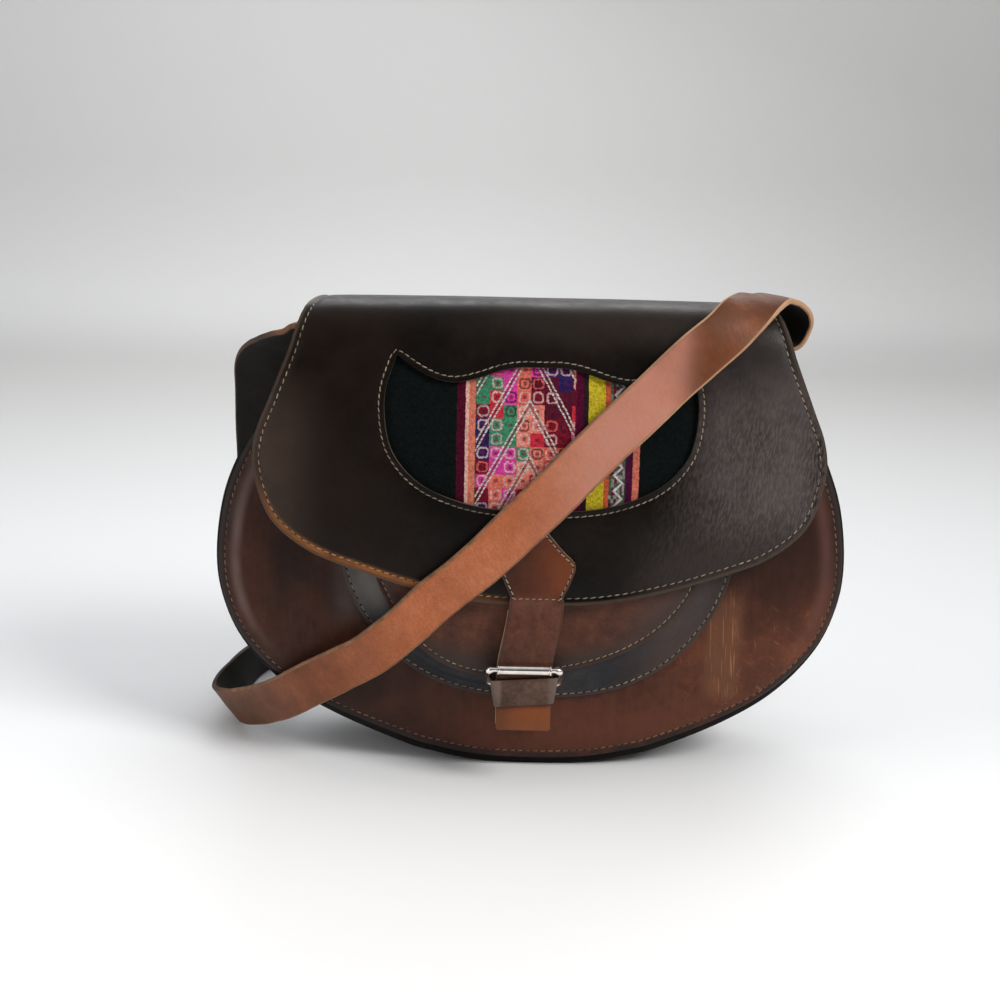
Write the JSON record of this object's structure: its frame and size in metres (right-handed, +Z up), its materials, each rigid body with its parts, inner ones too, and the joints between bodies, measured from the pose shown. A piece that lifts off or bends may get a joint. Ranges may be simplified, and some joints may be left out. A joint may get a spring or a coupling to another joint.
{
  "type": "leather crossbody bag",
  "caption": "Half-moon leather crossbody bag with a rounded flap, a woven cloth inset, a buckled closure strap, a front pocket and a long shoulder strap.",
  "frame": {"origin": "middle of the flat stretch of the gusset that the bag stands on", "axes": "+X to the right as the bag is looked at, the front faces -Y, +Z up"},
  "size_m": [0.2913, 0.1542, 0.2126],
  "materials": {
    "red_brown_leather": "waxed full-grain leather, puffed and creased, with tan worn marks",
    "dark_brown_leather": "very dark oiled leather with a soft sheen",
    "blue_black_leather": "dark leather band, satin",
    "tan_leather": "tan oiled leather with pale cut edges",
    "closure_leather": "red-brown leather with tan cut edges",
    "woven_cloth": "black ground cloth with a many-coloured woven band",
    "steel": "bright plated steel wire and tube"
  },
  "bodies": {
    "bag": {"front_panel": "red_brown_leather", "back_panel": "red_brown_leather", "gusset": "dark_brown_leather", "pocket_face": "red_brown_leather", "pocket_rim": "blue_black_leather", "flap_margin": "dark_brown_leather", "buckle_chape": "closure_leather", "strap_keeper": "dark_brown_leather", "shoulder_strap": "tan_leather"},
    "flap": {"flap_outer": "dark_brown_leather", "textile_inset": "woven_cloth", "flap_lining": "tan_leather", "closure_strap": "closure_leather", "closure_strap_lining": "tan_leather"},
    "buckle": {"buckle_frame": "steel"},
    "roller": {"buckle_roller": "steel"}
  },
  "joints": [
    {"name": "flap_hinge", "type": "hinge", "parent": "bag", "child": "flap", "pos_m": [0, 0.02435, 0.1996], "axis": [-1, 0, 0], "range_deg": [0, 120], "deforming": ["closure_strap", "closure_strap_lining", "shoulder_strap"]},
    {"name": "buckle_hinge", "type": "hinge", "parent": "bag", "child": "buckle", "pos_m": [-0.0046, -0.04881, 0.0455], "axis": [1, 0, 0], "range_deg": [0, 80]},
    {"name": "roller_spin", "type": "hinge", "parent": "buckle", "child": "roller", "pos_m": [-0.0046, -0.05911, 0.056], "axis": [1, 0, 0], "continuous": true}
  ]
}
